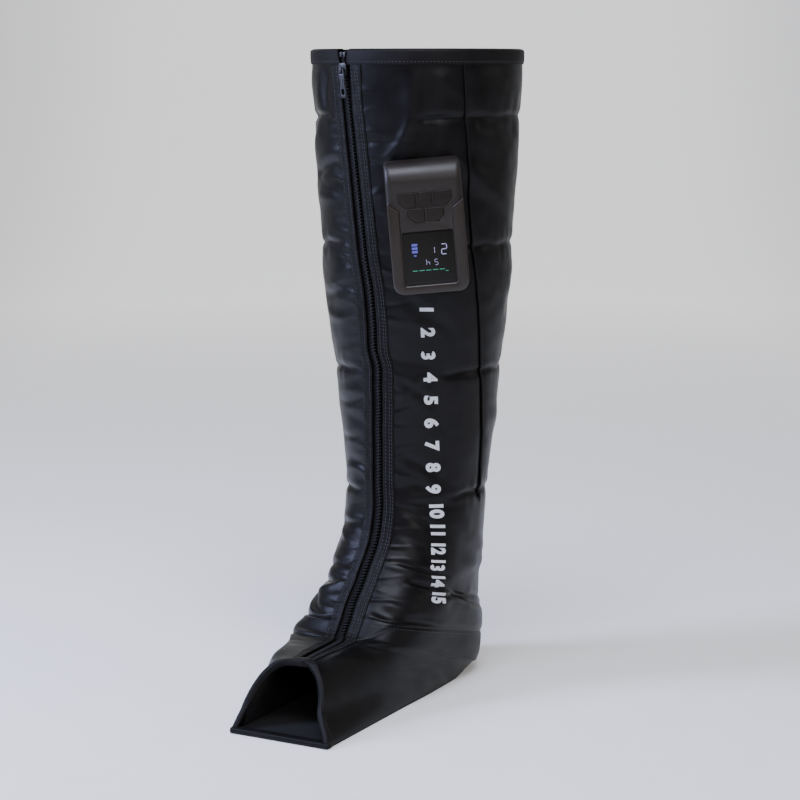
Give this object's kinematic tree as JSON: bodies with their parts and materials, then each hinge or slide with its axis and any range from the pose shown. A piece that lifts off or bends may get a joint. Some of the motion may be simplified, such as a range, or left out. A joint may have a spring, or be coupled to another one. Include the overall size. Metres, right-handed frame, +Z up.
{
  "type": "compression therapy pump",
  "caption": "Air compression sleeve for a lower leg and foot, with a front zipper, open toe and a docked pump with display and keys.",
  "frame": {"origin": "on the floor, under the middle of the leg opening, on the underside of the sole", "axes": "+Z up along the leg, -Y towards the toe, +X towards the outer side of a left leg, where the pump sits"},
  "size_m": [0.2186, 0.3719, 0.6318],
  "materials": {
    "padded_cloth": "satin woven polyamide, padded",
    "foot_cloth": "satin woven polyamide, smooth",
    "sole_cloth": "coarse matt woven sole cloth",
    "lining": "matt knitted lining",
    "binding": "satin folded tape",
    "zipper_tape": "woven zipper tape",
    "zipper_teeth": "moulded acetal teeth",
    "zipper_metal": "black lacquered zinc",
    "bladder_film": "welded soft polyurethane film",
    "air_hose": "soft extruded hose",
    "dock_plastic": "moulded black plastic",
    "dock_foam": "soft moulded saddle",
    "case_plastic": "satin warm black moulded plastic",
    "frame_plastic": "satin gloss warm black moulded plastic",
    "lens": "smoked hard-coated lens",
    "display": "unlit display panel",
    "key_plastic": "satin moulded keys",
    "keypad_silicone": "matt silicone",
    "circuit_board": "green solder mask",
    "cell_sleeve": "shrink-sleeved cells",
    "works_plastic": "unpainted moulded plastic",
    "works_steel": "plated steel",
    "valve_metal": "coated steel cans",
    "seal_rubber": "soft red seal rings",
    "socket_steel": "drawn steel shell"
  },
  "bodies": {
    "sleeve": {"lateral_panel": "padded_cloth", "back_panel": "padded_cloth", "medial_panel": "padded_cloth", "foot_panel_lateral": "foot_cloth", "foot_panel_medial": "foot_cloth", "sole_panel": "sole_cloth", "insole": "lining", "leg_lining": "lining", "foot_lining": "lining", "top_hem": "binding", "toe_hem": "binding", "zip_facing_lateral": "binding", "zip_facing_medial": "binding", "zipper_tape_lateral": "zipper_tape", "zipper_tape_medial": "zipper_tape", "zipper_teeth_lateral": "zipper_teeth", "zipper_teeth_medial": "zipper_teeth", "zipper_stops": "zipper_teeth", "seam_piping": "binding", "bladder_top": "bladder_film", "bladder_upper_calf": "bladder_film", "bladder_calf": "bladder_film", "bladder_ankle": "bladder_film", "hose_top": "air_hose", "hose_upper_calf": "air_hose", "hose_calf": "air_hose", "hose_ankle": "air_hose", "hose_manifold": "dock_plastic", "dock_saddle": "dock_foam", "dock_plate": "dock_plastic"},
    "pump": {"rear_housing": "case_plastic", "front_shell": "case_plastic", "u_frame": "frame_plastic", "display_lens": "lens", "display_module": "display", "keypad_membrane": "keypad_silicone", "main_board": "circuit_board", "battery_cells": "cell_sleeve", "battery_cradle": "works_plastic", "pump_motor": "works_steel", "pump_head": "works_plastic", "valve_block": "works_plastic", "solenoid_valves": "valve_metal", "pump_tube": "air_hose", "nozzle_seals": "seal_rubber", "charge_socket": "socket_steel", "case_screws": "works_steel"},
    "pump_rotor": {"pump_rotor": "works_steel"},
    "zip_slider": {"zip_slider": "zipper_metal"},
    "zip_pull": {"zip_pull": "zipper_metal"},
    "button_upper_left": {"button_upper_left": "key_plastic"},
    "button_upper_middle": {"button_upper_middle": "key_plastic"},
    "button_upper_right": {"button_upper_right": "key_plastic"},
    "button_lower_left": {"button_lower_left": "key_plastic"},
    "button_lower_right": {"button_lower_right": "key_plastic"}
  },
  "joints": [
    {"name": "pump_pull_off", "type": "slide", "parent": "sleeve", "child": "pump", "axis": [0.4953, -0.8668, -0.0582], "range_m": [0, 0.012]},
    {"name": "zip_slider_run", "type": "slide", "parent": "sleeve", "child": "zip_slider", "axis": [0.0986, 0.0305, -0.9947], "range_m": [0, 0.17]},
    {"name": "zip_pull_swing", "type": "hinge", "parent": "zip_slider", "child": "zip_pull", "pos_m": [-0.02862, -0.10019, 0.61274], "axis": [-0.9737, 0.2092, -0.0901], "range_deg": [0, 150]},
    {"name": "pump_rotor_spin", "type": "hinge", "parent": "pump", "child": "pump_rotor", "pos_m": [0.05839, -0.09623, 0.50235], "axis": [0.8675, 0.4899, 0.0862], "continuous": true},
    {"name": "button_upper_left_press", "type": "slide", "parent": "pump", "child": "button_upper_left", "axis": [-0.4953, 0.8668, 0.0582], "range_m": [0, 0.0008], "stiffness_N_per_m": 1500},
    {"name": "button_upper_middle_press", "type": "slide", "parent": "pump", "child": "button_upper_middle", "axis": [-0.4953, 0.8668, 0.0582], "range_m": [0, 0.0008], "stiffness_N_per_m": 1500},
    {"name": "button_upper_right_press", "type": "slide", "parent": "pump", "child": "button_upper_right", "axis": [-0.4953, 0.8668, 0.0582], "range_m": [0, 0.0008], "stiffness_N_per_m": 1500},
    {"name": "button_lower_left_press", "type": "slide", "parent": "pump", "child": "button_lower_left", "axis": [-0.4953, 0.8668, 0.0582], "range_m": [0, 0.0008], "stiffness_N_per_m": 1500},
    {"name": "button_lower_right_press", "type": "slide", "parent": "pump", "child": "button_lower_right", "axis": [-0.4953, 0.8668, 0.0582], "range_m": [0, 0.0008], "stiffness_N_per_m": 1500}
  ]
}
